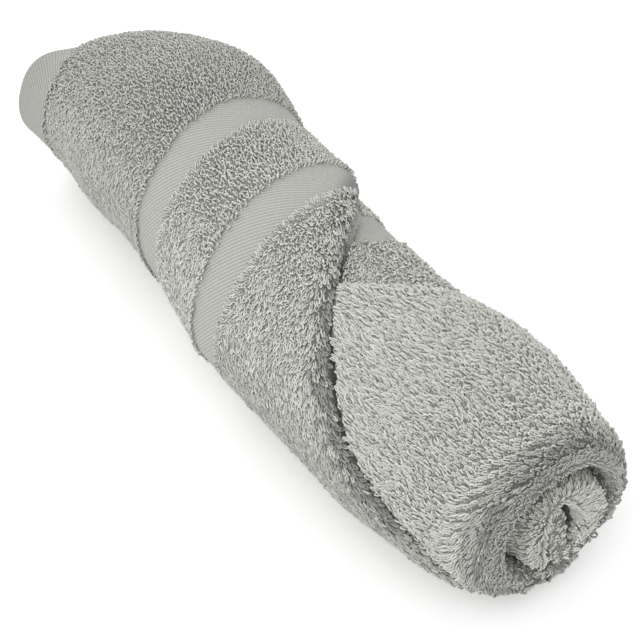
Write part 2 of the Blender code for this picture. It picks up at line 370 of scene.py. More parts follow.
# The weave: its ribs slant, the other way on the hem, and picks cross them.
RIB_PITCH = 0.0014
RIB_SLANT = (0.83, 0.56)
HEM_SLANT = 0.95
PICK_PITCH = 0.0011
PICK_SHIFT = 2000.0
SPECKS_EACH_METRE = 900.0
RIB_RELIEF = 0.8
PICK_RELIEF = 0.35
SPECK_RELIEF = 0.4
RELIEF_DEPTH = 0.00045
# The ground under the pile: spots where the loops' feet stand, moved about a little.
SPOTS_EACH_METRE = 800.0
SPOT_STEEPNESS = 4.0
SPOT_RELIEF = 2.0
SHIFTS_EACH_METRE = 400.0
SHIFT = (0.0016, 0.0016, 0.0)
# How light the ground is, from 0 to 1: the least, and what a rib or a spot adds. Between the
# loops' feet the ground is darker: painted shade.
WEAVE_SHADE = (0.54, 0.3)
SPOT_SHADE = (0.46, 0.6)
# The hem's ground is painted darker, as shade.
HEM_DARKER = 0.14
# How much the painted shade of the creases, the fold, the near end and the groove darkens the ground.
PAINTED_SHADE_DARKER = 0.9
GROUND_DARK = (0.1, 0.103, 0.098, 1.0)
GROUND_LIGHT = (0.6, 0.605, 0.56, 1.0)

FLOOR_CORNERS = ((-4, -4, 0), (4, -4, 0), (4, 4, 0), (-4, 4, 0))
FLOOR_COLOUR = (0.9, 0.9, 0.9, 1.0)
FLOOR_GLOW = 0.2
WORLD_STRENGTH = 0.93
# name, place, target, size, power
LAMPS = (
    ("key", (-0.95, -0.15, 1.0), (0.0, 0.0, 0.05), 0.7, 2.4),
    ("near_fill", (0.12, -0.24, 0.42), (0.1, 0.0, 0.05), 0.3, 0.5),
)
WHITE = (1.0, 1.0, 1.0, 1.0)

CAMERA_PLACE = (0.2717, -0.1695, 0.3505)
CAMERA_TARGET = (0.0516, -0.0107, 0.0531)
CAMERA_LENS = 50.625
CAMERA_SENSOR = 36.0
CAMERA_NEAREST = 0.01


# The shape of the roll


def soft_step(distance, width):
    """0 well before zero, 1 well after it, and a smooth rise of that width between."""
    share = np.clip(distance / width + 0.5, 0.0, 1.0)
    return share * share * (3.0 - 2.0 * share)


def bump(distance, width):
    """A smooth hump round zero, 1 high, that ends a width away on both sides."""
    share = np.clip(1.0 - np.abs(distance) / width, 0.0, 1.0)
    return share * share * (3.0 - 2.0 * share)


def from_table(table, at):
    """The columns of a table past its first, as smooth curves over the first."""
    table = np.array(table, dtype=float)
    places = table[:, 0]
    at = np.clip(at, places[0], places[-1])
    row = np.clip(np.searchsorted(places, at, side="right") - 1, 0, len(places) - 2)
    gap = places[row + 1] - places[row]
    share = (at - places[row]) / gap
    start_weight = (1 + 2 * share) * (1 - share) ** 2
    found = []
    for column in range(1, table.shape[1]):
        values = table[:, column]
        slopes = np.gradient(values, places)
        found.append(
            start_weight * values[row]
            + (1 - start_weight) * values[row + 1]
            + share * (1 - share) ** 2 * gap * slopes[row]
            - share**2 * (1 - share) * gap * slopes[row + 1]
        )
    return found


def past_bias_fold(along, turn):
    """Distance past the bias fold, square to it."""
    return (along - from_table(BIAS_FOLD, np.degrees(turn))[0]) * math.cos(BIAS)


def past_tongue_edge(along, turn):
    """Distance past the tongue's edge, along the roll."""
    return along - from_table(TONGUE_EDGE, np.degrees(turn))[0]


def striped(along, softness):
    """1 in the hem and the two bands, 0 in the pile."""
    flat = 1.0 - soft_step(along - HEM_WIDTH, softness)
    for start in BAND_STARTS:
        flat = flat + soft_step(along - start, softness)
        flat = flat - soft_step(along - start - BAND_WIDTH, softness)
    return flat


def flat_woven(along, turn, softness=EDGE_OF_PILE):
    """1 where the cloth is flat-woven, on the outer turn and on the turn below it."""
    below = soft_step(past_bias_fold(along, turn), softness)
    tongue = soft_step(past_tongue_edge(along, turn), softness)
    from_free_edge = (turn - FIRST_TURN) * CLOTH_RADIUS
    side_hem = (1.0 - soft_step(from_free_edge - SIDE_HEM, softness)) * (1.0 - below)
    outer = np.maximum(striped(along, softness), side_hem)
    further = from_table(LOWER_STRIPES, np.degrees(turn))[0]
    lower = striped(along - further, softness) * (1.0 - tongue)
    return outer * (1.0 - below) + lower * below


def layer_rise(along, turn):
    """How far the ground of the cloth stands above the sections' ovals."""
    distance = past_bias_fold(along, turn)
    below = soft_step(distance, LAYER_EDGE)
    firm = soft_step(turn - SOFTER_BEFORE, SOFTER_OVER)
    tongue_edge = SOFT_TONGUE_EDGE + (TONGUE_ROUND - SOFT_TONGUE_EDGE) * firm
    tongue = soft_step(past_tongue_edge(along, turn), tongue_edge)
    rise = below * (TONGUE_OVER_TURN * tongue - FLAP_OVER_TURN)
    hollow = 1.0 - soft_step(along - HOLLOW_LENGTH / 2, HOLLOW_LENGTH)
    rise = rise - HOLLOW_DEPTH * hollow * bump(turn - HOLLOW_TURN, HOLLOW_WIDTH)
    rounded = np.clip(1.0 + distance / FOLD_ROUND, 0.0, 1.0) ** 2 * (1.0 - below)
    rise = rise - FOLD_DROP * rounded - CREASE_DIP * bump(distance - CREASE_DIP_AT, CREASE_DIP_WIDTH)
    to_free_edge = FREE_EDGE_TURN - turn
    dip = np.clip(1.0 - to_free_edge / FREE_EDGE_DIP, 0.0, 1.0) ** 2 * (1.0 - below)
    in_hem = (1.0 - soft_step(along - HEM_WIDTH, EDGE_OF_PILE)) * (1.0 - below)
    woven = flat_woven(along, turn)
    recess = PILE_GROUND + (PILE_HEIGHT - PILE_GROUND) * woven
    recess = recess - (PILE_HEIGHT - HEM_RECESS) * in_hem
    recess = recess - TONGUE_PRESSED * below * tongue
    rise = rise - FLAP_OVER_TURN * dip - recess
    for size, waves_along, waves_round, phase in LUMPS:
        rise = rise + size * np.sin(waves_along * along + waves_round * turn + phase)
    return rise


def on_section(along, reach, turn, rise):
    """Points of the roll at a share of its section's radius."""
    half_width, half_height, sideways, lowest = from_table(SECTIONS, along)
    across = (half_width * reach + rise * reach) * np.cos(turn)
    upward = (half_height * reach + rise * reach) * np.sin(turn)
    at_end = soft_step(along - END_LEAN_FROM - END_LEAN_OVER / 2, END_LEAN_OVER)
    ring_lean = RING_LEAN * across * (1.0 - at_end)
    end_lean = (END_LEAN_SIDE * across + END_LEAN_UP * upward) * at_end
    x = along + ring_lean + end_lean - MIDDLE_ALONG
    y = sideways + across - MIDDLE_SIDEWAYS
    z = np.maximum(lowest + half_height + upward, FLOOR_CLEARANCE)
    return np.stack([x, y, z], axis=-1)


def near_depth(reach, turn):
    """How deep the near end's face lies behind its rim: a groove round a bulging, creased core."""
    from_crossing = np.mod(turn - CLOTH_CROSSES_AT + math.pi, 2 * math.pi) - math.pi
    crossing = CROSSING_RISE * bump(from_crossing, CLOTH_CROSSES_OVER)
    depth = GROOVE_DEPTH * bump(reach - GROOVE_REACH, GROOVE_WIDTH) * (1.0 - crossing)
    depth = depth - CORE_BULGE * (1.0 - (reach / RIM_REACH) ** 2)
    left, right = ARCH_DEPTHS
    to_right = soft_step(reach * np.cos(turn) - ARCH_MIDDLE, ARCH_HALF_WIDTH)
    crease_depth = left + (right - left) * to_right
    return depth + crease_depth * core_crease(reach, turn) + PATCH_DEPTH * core_patch(reach, turn)


def from_arch(sideways, upward):
    """Distance outside the arch of the core's crease, in shares of the section's radius."""
    across = (sideways - ARCH_MIDDLE) / ARCH_HALF_WIDTH
    return (np.hypot(across, np.maximum(upward, 0.0) / ARCH_HEIGHT) - 1.0) * ARCH_HALF_WIDTH


def on_core(share, reach, upward):
    """The share on the core. It fades to 0 at the groove and at the foot of the arch."""
    return share * soft_step(CORE_REACH - reach, GROOVE_WIDTH) * soft_step(upward - ARCH_FOOT, ARCH_FADE)


def core_crease(reach, turn):
    """1 at the bottom of the core's crease, 0 outside it."""
    upward = reach * np.sin(turn)
    return on_core(bump(from_arch(reach * np.cos(turn), upward), CREASE_WIDTH), reach, upward)


def core_patch(reach, turn):
    """1 on the smooth patch inside the core's crease."""
    upward = reach * np.sin(turn)
    return on_core(soft_step(-from_arch(reach * np.cos(turn), upward), PATCH_SOFT), reach, upward)


def shoulder_angle(place):
    """How far over the shoulder a place on the skin lies, as an angle."""
    return np.clip((place - SIDE_END) / SHOULDER_ARC, 0.0, 1.0) * math.pi / 2


def along_of(place):
    """How far along the roll a place on the skin lies."""
    return np.minimum(place, SIDE_END) + SHOULDER_LENGTH * np.sin(shoulder_angle(place))


def face_reach(place):
    """The reach of a place on the near end's face. Before the face it is the rim's."""
    return np.clip((SKIN_END - place) / FACE_ARC, 0.0, 1.0) * RIM_REACH


def towel_skin(place, turn):
    """Points of the cloth's outer side: along the side, over the shoulder and across the near end."""
    place, turn = np.broadcast_arrays(place, turn)
    along = along_of(place)
    inward = np.clip((place - FACE_START) / FACE_ARC, 0.0, 1.0)
    shoulder_reach = RIM_REACH + (1.0 - RIM_REACH) * np.cos(shoulder_angle(place))
    reach = np.where(inward > 0.0, RIM_REACH * (1.0 - inward), shoulder_reach)
    points = on_section(along, reach, turn, layer_rise(along, turn))
    on_face = inward > 0.0
    points[..., 0] -= np.where(on_face, near_depth(reach, turn), 0.0)
    to_core = np.clip((RIM_REACH - reach) / (RIM_REACH - GROOVE_REACH), 0.0, 1.0) * on_face
    points[..., 1] += CORE_SIDEWAYS * to_core
    points[..., 2] = np.maximum(points[..., 2] + CORE_UP * to_core, FLOOR_CLEARANCE)
    return points


# The sheet of cloth


def new_object(name, data):
    """A new object in the scene."""
    made = bpy.data.objects.new(name, data)
    bpy.context.scene.collection.objects.link(made)
    return made


class Sheet:
    """Gathers grids of points into one mesh, with how woven the cloth is and how much painted shade
    darkens it.
    """

    def __init__(self):
        self.points, self.faces, self.woven, self.deep, self.flat_place = [], [], [], [], []

    def add_grid(self, points, woven, flat_place, deep=0.0, outwards=True):
        """Adds a grid of points, and gives each point's number in the mesh."""
        rows, columns = points.shape[:2]
        first = sum(len(block) for block in self.points)
        number = first + np.arange(rows * columns).reshape(rows, columns)
        a, b = number[:-1, :-1].ravel(), number[:-1, 1:].ravel()
        c, d = number[1:, 1:].ravel(), number[1:, :-1].ravel()
        quads = np.stack([a, b, c, d] if outwards else [d, c, b, a], axis=1)
        self.points.append(points.reshape(-1, 3))
        self.woven.append(np.broadcast_to(woven, (rows, columns)).ravel())
        self.deep.append(np.broadcast_to(deep, (rows, columns)).ravel())
        self.flat_place.append(flat_place.reshape(-1, 3))
        self.faces.append(quads)
        return number

    def join(self, one, other, outwards=True):
        """Adds a strip of faces between two rows of points."""
        a, b, c, d = one[:-1], one[1:], other[1:], other[:-1]
        self.faces.append(np.stack([a, b, c, d] if outwards else [d, c, b, a], axis=1))

    def mesh(self, name):
        """The whole sheet. Its points keep how woven they are, their painted shade, and their flat place.
        """
        points = np.concatenate(self.points)
        faces = np.concatenate(self.faces)
        made = bpy.data.meshes.new(name)
        made.from_pydata(points.tolist(), [], faces.tolist())
        for field, values in (("woven", self.woven), ("deep", self.deep)):
            column = made.attributes.new(field, "FLOAT", "POINT")
            column.data.foreach_set("value", np.concatenate(values).astype(np.float32))
        flat = made.attributes.new("flat_place", "FLOAT_VECTOR", "POINT")
        flat.data.foreach_set("vector", np.concatenate(self.flat_place).astype(np.float32).ravel())
        made.shade_smooth()
        return made


def flat_places(place, turn):
    """Where a point lies on the cloth before it is rolled: along it, and across it."""
    place, turn = np.broadcast_arrays(place, turn)
    return np.stack([place, turn * CLOTH_RADIUS, np.zeros_like(place)], axis=-1)


def closer_at_fold(place, turn):
    """The same rows, drawn together at the bias fold so that its steep side is smooth."""
    past = place - from_table(BIAS_FOLD, np.degrees(turn))[0]
    share = np.clip(past / DRAWN_OVER, -1.0, 1.0)
    drawn = DRAWN_SHARE * DRAWN_OVER / math.pi * np.sin(math.pi * share)
    return place - drawn * (place < SIDE_END)


def deep_places(place, turn):
    """How much painted shade darkens the ground: 1 in the crease under the bias fold and in the core's
    crease.
    """
    place, turn = np.broadcast_arrays(place, turn)
    past_fold = past_bias_fold(along_of(place), turn)
    crease = bump(past_fold - CREASE_MIDDLE, CREASE_SHADE_WIDTH) * from_table(CREASE, np.degrees(turn))[1]
    beside = FOLD_GROUND * soft_step(past_fold + FOLD_GROUND_WIDTH, FOLD_GROUND_WIDTH) * (past_fold < 0.0)
    near_end = END_GROUND * soft_step(place - END_LAY_FROM - END_LAY_OVER / 2, END_LAY_OVER)
    on_side = np.maximum(np.maximum(crease, beside), near_end) * (place < FACE_START)
    reach = face_reach(place)
    on_face = GROOVE_GROUND * bump(reach - GROOVE_REACH, GROOVE_WIDTH) + core_crease(reach, turn)
    return np.where(place > FACE_START, np.minimum(on_face, 1.0), on_side)


def outer_turn(sheet):
    """The outer turn, the shoulder and the wound face of the near end."""
    turn = np.linspace(FIRST_TURN, FREE_EDGE_TURN, COLUMNS + 1)[None, :]
    place = np.concatenate([
        np.arange(0.0, FACE_START, ROW_SPACING),
        np.arange(FACE_START, SKIN_END - TINY, FACE_ROW_SPACING),
        [SKIN_END],
    ])[:, None]
    place = closer_at_fold(place, turn)
    woven = flat_woven(along_of(place), turn) * (place < SIDE_END)
    points = towel_skin(place, turn)
    number = sheet.add_grid(points, woven, flat_places(place, turn), deep_places(place, turn))
    sheet.join(number[:, -1], number[:, 0])
    return number[0], turn


def inner_half(sheet, rim, turn):
    """The half of the towel that is folded inside, with the hem's thickness at the far rim."""
    along, inside = np.array(INNER_ROWS).T[:, :, None]
    rise = layer_rise(np.maximum(along, 0.0), turn) - inside
    points = on_section(along + 0.0 * turn, np.ones_like(rise), turn + 0.0 * along, rise)
    number = sheet.add_grid(points, 1.0, flat_places(along, turn))
    sheet.join(rim, number[0], outwards=False)


def ripple(turn, phase, size, ripples):
    """A wave round the roll, with so many radians of it for each radian of turn."""
    return size * np.sin(ripples * turn + phase)


def wound_hems(sheet):
    """The hems of the turns inside, as two ribbons wound side by side at the far end."""
    share, section_along = np.array(WOUND_SECTION).T[:, None, :]
    outward = share * WOUND_HALF
    steps = int(WOUND_TURNS * WOUND_STEPS)
    turn = np.linspace(0.0, WOUND_TURNS * 2 * math.pi, steps)[:, None] + FIRST_TURN
    wound = (turn - FIRST_TURN) / (WOUND_TURNS * 2 * math.pi)
    for start, lift, phase in WOUND_RIBBONS:
        middle = start - wound * (start - WOUND_MIDDLE) + ripple(turn, phase, *REACH_RIPPLES)
        along = section_along + lift * (1.0 + wound)
        along = along + ripple(turn, phase, *EDGE_RIPPLES) + ripple(turn, 0.0, *FINE_EDGE_RIPPLES)
        reach = np.maximum(middle + outward, WOUND_LEAST)
        points = on_section(along, reach, turn + 0.0 * outward, 0.0)
        flat = np.stack([along + 0.0 * turn, turn * WOUND_RADIUS + 0.0 * along, 0.0 * reach], axis=-1)
        sheet.add_grid(points, 1.0, flat, outwards=False)


def towel_cloth(material):
    """The towel's cloth as one piece."""
    sheet = Sheet()
    rim, turn = outer_turn(sheet)
    inner_half(sheet, rim, turn)
    wound_hems(sheet)
    cloth = new_object("towel_cloth", sheet.mesh("towel_cloth"))
    cloth.data.materials.append(material)
    return cloth


# Nodes


class Value:
    """A node's output. Sums and products of values add Math nodes."""

    def __init__(self, nodes, socket):
        self.nodes = nodes
        self.socket = socket

    def maths(self, operation, *values):
        """A Math node over these values."""
        return self.nodes.add("ShaderNodeMath", {"operation": operation}, dict(enumerate(values)))

    def __add__(self, other):
        return self.maths("ADD", self, other)

    def __sub__(self, other):
        return self.maths("SUBTRACT", self, other)

    def __rsub__(self, other):
        return self.maths("SUBTRACT", other, self)

    def __mul__(self, other):
        return self.maths("MULTIPLY", self, other)

    __radd__ = __add__
    __rmul__ = __mul__


class Nodes:
    """Adds nodes to a tree."""

    def __init__(self, tree):
        self.tree = tree

    def add(self, kind, settings=None, sockets=None, output=0):
        """Adds a node: its settings first, then the values or links of its sockets."""
        node = self.tree.nodes.new(kind)
        for name, setting in (settings or {}).items():
            setattr(node, name, setting)
        for name, value in (sockets or {}).items():
            for one in value if isinstance(value, list) else [value]:
                if isinstance(one, Value):
                    self.tree.links.new(one.socket, node.inputs[name])
                else:
                    node.inputs[name].default_value = one
        return Value(self, node.outputs[output]) if len(node.outputs) else None


# The pile


def loop_shape(nodes, size, bend, twist, width):
    """One loop of yarn: an arc that is open at its foot, bent forwards and twisted."""
    arc = nodes.add("GeometryNodeCurveArc", {"mode": "RADIUS"}, {
        "Resolution": LOOP_STEPS, "Radius": 1.0,
        "Start Angle": -LOOP_OPENS, "Sweep Angle": math.pi + 2 * LOOP_OPENS,
    })
    position = nodes.add("GeometryNodeInputPosition")
    split = nodes.add("ShaderNodeSeparateXYZ", None, {0: position})
    sideways = Value(nodes, split.socket.node.outputs[0])
    upward = Value(nodes, split.socket.node.outputs[1])
    share = (upward + math.sin(LOOP_OPENS)) * (1.0 / (1.0 + math.sin(LOOP_OPENS)))
    height = share * size["Loop Height"]
    place = nodes.add("ShaderNodeCombineXYZ", None, {
        0: sideways * size["Loop Width"] * (0.5 * width), 1: height * share * bend, 2: height,
    })
    turned = nodes.add("ShaderNodeVectorRotate", {"rotation_type": "Z_AXIS"}, {
        "Vector": place, "Angle": share * twist,
    })
    line = nodes.add("GeometryNodeSetPosition", None, {"Geometry": arc, "Position": turned})
    ring = nodes.add("GeometryNodeCurvePrimitiveCircle", {"mode": "RADIUS"}, {
        "Resolution": YARN_SIDES, "Radius": size["Yarn Radius"],
    })
    tube = nodes.add("GeometryNodeCurveToMesh", None, {"Curve": line, "Profile Curve": ring})
    return nodes.add("GeometryNodeGeometryToInstance", None, {0: tube})


def loop_tree(yarns):
    """Puts a loop on every point, turned and sized by the point's own values."""
    tree = bpy.data.node_groups.new("terry_loops", "GeometryNodeTree")
    tree.interface.new_socket("Points", in_out="INPUT", socket_type="NodeSocketGeometry")
    for name in LOOP_SIZES:
        tree.interface.new_socket(name, in_out="INPUT", socket_type="NodeSocketFloat")
    tree.interface.new_socket("Pile", in_out="OUTPUT", socket_type="NodeSocketGeometry")
    nodes = Nodes(tree)
    given = nodes.add("NodeGroupInput").socket.node
    size = {name: Value(nodes, given.outputs[name]) for name in LOOP_SIZES}

    def of_point(name, kind):
        return nodes.add("GeometryNodeInputNamedAttribute", {"data_type": kind}, {"Name": name})

    shapes = [loop_shape(nodes, size, *shape) for shape in LOOP_SHAPES]
    joined = nodes.add("GeometryNodeJoinGeometry", None, {0: shapes})
    turned = nodes.add("FunctionNodeAxesToRotation", {"primary_axis": "Z", "secondary_axis": "X"}, {
        0: of_point("stand", "FLOAT_VECTOR"), 1: of_point("across", "FLOAT_VECTOR"),
    })
    placed = nodes.add("GeometryNodeInstanceOnPoints", None, {
        "Points": Value(nodes, given.outputs["Points"]), "Instance": joined, "Pick Instance": True,
        "Instance Index": of_point("shape", "INT"), "Rotation": turned,
        "Scale": of_point("scale", "FLOAT_VECTOR"),
    })
    pile = nodes.add("GeometryNodeRealizeInstances", None, {0: placed})
    for number, yarn in enumerate(yarns):
        chosen = nodes.add("FunctionNodeCompare", {"data_type": "INT", "operation": "EQUAL"}, {
            2: of_point("shade", "INT"), 3: number,
        })
        pile = nodes.add("GeometryNodeSetMaterial", None, {
            "Geometry": pile, "Selection": chosen, "Material": yarn,
        })
    nodes.add("NodeGroupOutput", None, {0: pile})
    return tree


def unit(vectors):
    """The same directions, 1 long."""
    return vectors / np.maximum(np.linalg.norm(vectors, axis=-1, keepdims=True), SHORTEST)


def skin_frame(place, turn):
    """Points of the skin, with the directions outwards, along and round it."""
    points = towel_skin(place, turn)
    along = unit(towel_skin(place + FRAME_STEP, turn) - towel_skin(place - FRAME_STEP, turn))
    round_step = FRAME_STEP / FRAME_RADIUS
    round_it = unit(towel_skin(place, turn + round_step) - towel_skin(place, turn - round_step))
    outwards = unit(np.cross(round_it, along))
    return points, outwards, along, np.cross(along, outwards)


def pitch_at(turn):
    """Distance between loops, for each turn."""
    away = np.abs(turn - LOOKED_AT_TURN)
    return FINE_PITCH + (COARSE_PITCH - FINE_PITCH) * soft_step(away - FINE_OVER, FINE_FADE)


def column_turns():
    """The turn of each column of loops."""
    turn = np.linspace(FIRST_TURN, FREE_EDGE_TURN, TURN_SAMPLES)
    step = turn[1] - turn[0]
    counted = np.concatenate([[0.0], np.cumsum(CLOTH_RADIUS * step / pitch_at(turn[1:]))])
    return np.interp(np.arange(int(counted[-1])) + 0.5, counted, turn)


def crowding(place, turn):
    """How much closer than usual the loops stand, along and across their columns."""
    past_fold = past_bias_fold(along_of(place), turn)
    beside_fold = (past_fold < 0.0) & (past_fold > -DARKER_FOLD) & (place < SIDE_END)
    fold_crowded = from_table(FOLD_LAY, np.degrees(turn))[0]
    on_side = np.where(beside_fold, fold_crowded, np.where(place > END_LAY_FROM, END_CROWDED, 1.0))
    return np.where(place > FACE_START, CORE_CROWDED, on_side)


def loop_places(rng):
    """Places of the loops: in columns along the roll, fewer where the columns draw together."""
    fine = np.arange(0.0, SKIN_END - WALK_END, WALK_STEP)[:, None]
    turns = column_turns()
    points = towel_skin(fine, turns)
    crowded = crowding(fine, turns)
    steps = np.linalg.norm(np.diff(points, axis=0), axis=-1) * crowded[1:]
    walked = np.concatenate([np.zeros((1, len(turns))), np.cumsum(steps, axis=0)])
    beside = np.linalg.norm(towel_skin(fine, turns + WALK_TURN) - points, axis=-1)
    beside = beside / (WALK_TURN * CLOTH_RADIUS) * crowded
    found = []
    for column, turn in enumerate(turns):
        pitch = pitch_at(turn)
        stops = np.arange(pitch * (column % 2) / 2, walked[-1, column], pitch)
        place = np.interp(stops, walked[:, column], fine[:, 0])
        room = np.interp(stops, walked[:, column], beside[:, column])
        order = (column * EVEN_ORDER[0] + np.arange(len(stops)) * EVEN_ORDER[1]) % 1.0
        place = place[order < room]
        found.append(np.stack([place, np.full_like(place, turn)], axis=1))
    place, turn = np.concatenate(found).T
    pitch = pitch_at(turn)
    place = place + SCATTER * pitch * rng.normal(size=len(place))
    turn = turn + SCATTER * pitch / CLOTH_RADIUS * rng.normal(size=len(place))
    turn = np.clip(turn, FIRST_TURN + TURN_AT_EDGE, FREE_EDGE_TURN - TURN_AT_EDGE)
    return np.clip(place, ROOM_AT_HEM, SKIN_END - ROOM_AT_MIDDLE), turn


def waves(place, turn, rng):
    """Smooth random waves over the cloth, from about -1 to 1."""
    total = np.zeros_like(place)
    for _ in range(WAVE_COUNT):
        pitch = rng.uniform(*WAVE_PITCHES)
        heading = rng.uniform(0.0, 2 * math.pi)
        travel = place * math.cos(heading) + turn * CLOTH_RADIUS * math.sin(heading)
        total = total + np.sin(travel * 2 * math.pi / pitch + rng.uniform(0.0, 2 * math.pi))
    return total / math.sqrt(WAVE_COUNT)


def part_of_pile(place, turn, rng):
    """The part of the pile at each place. On the back the tongue is mixed with the turn below it."""
    along = along_of(place)
    outer = past_bias_fold(along, turn) <= 0.0
    flap = outer & (along > BAND_ENDS[1])
    firm = soft_step(turn - SOFTER_BEFORE, SOFTER_OVER)
    softness = EDGE_OF_PILE + SOFT_TONGUE_EDGE * (1.0 - firm)
    tongue = rng.random(len(place)) < soft_step(past_tongue_edge(along, turn), softness)
    return np.select([flap, outer, tongue], [FLAP, OUTER, TONGUE], BELOW)


def core_lay(place, turn):
    """Lean and heading of the pile on the near end's face, and how much it is on the patch."""
    reach = face_reach(place)
    sideways, upward = reach * np.cos(turn), reach * np.sin(turn)
    away = np.stack([
        from_arch(sideways + CORE_STEP, upward) - from_arch(sideways - CORE_STEP, upward),
        from_arch(sideways, upward + CORE_STEP) - from_arch(sideways, upward - CORE_STEP),
    ], axis=-1)
    away = unit(away) + OUTWARD_SHARE * np.stack([np.cos(turn), np.sin(turn)], axis=-1)
    patch = core_patch(reach, turn)
    away = unit(away) * (1.0 - patch)[:, None] + unit(np.array(COMBED)) * patch[:, None]
    inwards = -away[:, 0] * np.cos(turn) - away[:, 1] * np.sin(turn)
    round_it = away[:, 1] * np.cos(turn) - away[:, 0] * np.sin(turn)
    lean = CORE_LEAN + (GROOVE_LEAN - CORE_LEAN) * soft_step(reach - GROOVE_REACH, GROOVE_WIDTH)
    return lean + (PATCH_LEAN - lean) * patch, np.arctan2(round_it, inwards), patch


def side_lay(place, turn, part, at_fold, to_end):
    """Lean and heading of the pile on the roll's side and over its shoulder."""
    along = along_of(place)
    degrees = np.degrees(turn)
    lays = [from_table(table, degrees) for table in (FLAP_LAY, OUTER_LAY, TONGUE_LAY, LOWER_LAY)]
    lean = np.choose(part, [lay[0] for lay in lays])
    heading = np.choose(part, [lay[1] for lay in lays])
    lean = lean + STRIP_LEAN * ((part == OUTER) & (along > BAND_START))
    fold_lean, further_along = from_table(FOLD_LAY, degrees)[1:3]
    distances, headings = np.array(FOLD_HEADINGS).T
    fold_heading = np.interp(-past_bias_fold(along, turn), distances, headings) - further_along
    heading = heading + (fold_heading - heading) * at_fold
    lean = lean + (fold_lean - lean) * at_fold
    for edge in BAND_ENDS:
        over_band = bump(along - edge, OVER_BAND) * (along > edge) * (part < TONGUE)
        heading = heading + (math.pi - heading) * over_band
    end_lean, end_heading = from_table(END_LAY, degrees)
    return lean + (end_lean - lean) * to_end, heading + (end_heading - heading) * to_end


def stands_up(along, part):
    """How upright the outer turn's pile is, from 0 to 1: beside the hem and before each band."""
    upright = 0.0
    for edge in (*BAND_STARTS, HEM_WIDTH):
        before = (along < edge) | (edge == HEM_WIDTH)
        upright = upright + bump(along - edge, UPRIGHT_EDGE) * before * (part < TONGUE)
    return upright


def lay_of_pile(place, turn, part, rng):
    """How each loop lies: lean, heading, length, turn on its own axis, thickness and shape."""
    along = along_of(place)
    past_fold = past_bias_fold(along, turn)
    at_fold = bump(past_fold, FOLD_PILE) * (part == FLAP)
    to_end = soft_step(place - END_LAY_FROM, END_LAY_OVER) * (part > OUTER)
    pressed = bump(past_fold, PRESSED_AT_FOLD) * (part == TONGUE)
    on_face = place > FACE_START
    lean, heading = side_lay(place, turn, part, at_fold, to_end)
    core_lean, core_heading, patch = core_lay(place, turn)
    lean = np.where(on_face, core_lean, lean) * (1.0 - PRESSED_UPRIGHT * pressed)
    heading = np.where(on_face, core_heading, heading)

    near_end = to_end > 0.5
    spread, length, turned, thickness = np.array(LAY_SPREAD)[np.where(near_end, NEAR_END, part)].T
    spread = spread * (1.0 - FOLD_STEADIER * at_fold) + PRESSED_SPREAD * pressed
    length = length * (1.0 + FOLD_LARGER * at_fold) * (1.0 - PRESSED_SHORTER * pressed)
    length = np.where(on_face & (place < GROOVE_PLACE), LIP_LENGTH * length, length)
    length = np.where(on_face, length * (1.0 + (PATCH_LENGTH - 1.0) * patch), length)
    thickness = np.where(on_face, CORE_THICKNESS, thickness * (1.0 + FOLD_LARGER * at_fold))

    count = len(place)
    lean = lean + LEAN_WAVES * waves(place, turn, rng) + rng.normal(0.0, LEAN_SPREAD, count)
    heading = heading + spread * (waves(place, turn, rng) + rng.normal(0.0, HEADING_SPREAD, count))
    length = length * (1.0 + rng.normal(0.0, LENGTH_SPREAD, count))
    turned = turned * rng.normal(0.0, 1.0, count)
    open_loops = (part == TONGUE) | (at_fold > FOLD_OPENS_AT) | near_end | (rng.random(count) < OPEN_SHARE)
    wound = rng.integers(OPEN_SHAPES, len(LOOP_SHAPES), count)
    shape = np.where(open_loops, rng.integers(0, OPEN_SHAPES, count), wound)
    lean = np.clip(lean, *LEAN_LIMITS) * (1.0 - stands_up(along, part))
    return lean, heading, np.clip(length, *LENGTH_LIMITS), turned, thickness, shape


def yarn_shade(place, turn, part, rng):
    """Which yarn each loop has: a random tone, painted lighter where the pile is pressed flat and darker
    where it stands, and painted shade by the fold, on the rim and in the groove.
    """
    along = along_of(place)
    before_fold = -past_bias_fold(along, turn)
    part = np.where((part == OUTER) & (along > BAND_START), STRIP, part)
    part = np.where((part == FLAP) & (before_fold < DARKER_FOLD), FOLD_SIDE, part)
    at_end = ((part == TONGUE) | (part == BELOW)) & (place > END_LAY_FROM + END_LAY_OVER / 2)
    part = np.where(at_end | (place > FACE_START), NEAR_END, part)
    part = np.where(place > GROOVE_PLACE, CORE, part)
    lightest, darkest = np.array(YARN_SHARES)[part].T
    # Low on the side the darker yarn is painted shade.
    low_from, low_over, low_share = DARKER_LOW
    low = soft_step(turn - low_from, low_over) * ((part < TONGUE) | (part == FOLD_SIDE))
    lightest, darkest = lightest * (1.0 - low), darkest + (low_share - darkest) * low
    count = len(place)
    draw = rng.random(count)
    shade = np.where(draw < lightest, LIGHT, np.where(draw > 1.0 - darkest, DARK, PLAIN))

    # Painted shade: the darkest yarn by the fold, on the rim and in the groove.
    shade_width = from_table(FOLD_LAY, np.degrees(turn))[3]
    shade_near_fold = (before_fold >= 0.0) & (before_fold < shade_width * rng.random(count)) & (place < SIDE_END)
    rim_width, rim_share = SHADED_RIM
    shade_on_rim = (place < FACE_START) & (place > FACE_START - rim_width) & (rng.random(count) < rim_share)
    groove_turn, groove_over, groove_share = SHADED_GROOVE
    groove = bump(face_reach(place) - GROOVE_REACH, GROOVE_WIDTH) * bump(turn - groove_turn, groove_over)
    shade_in_groove = (place > FACE_START) & (rng.random(count) < groove_share * groove)
    return np.where(shade_near_fold | shade_on_rim | shade_in_groove, PAINTED_SHADE_YARN, shade)


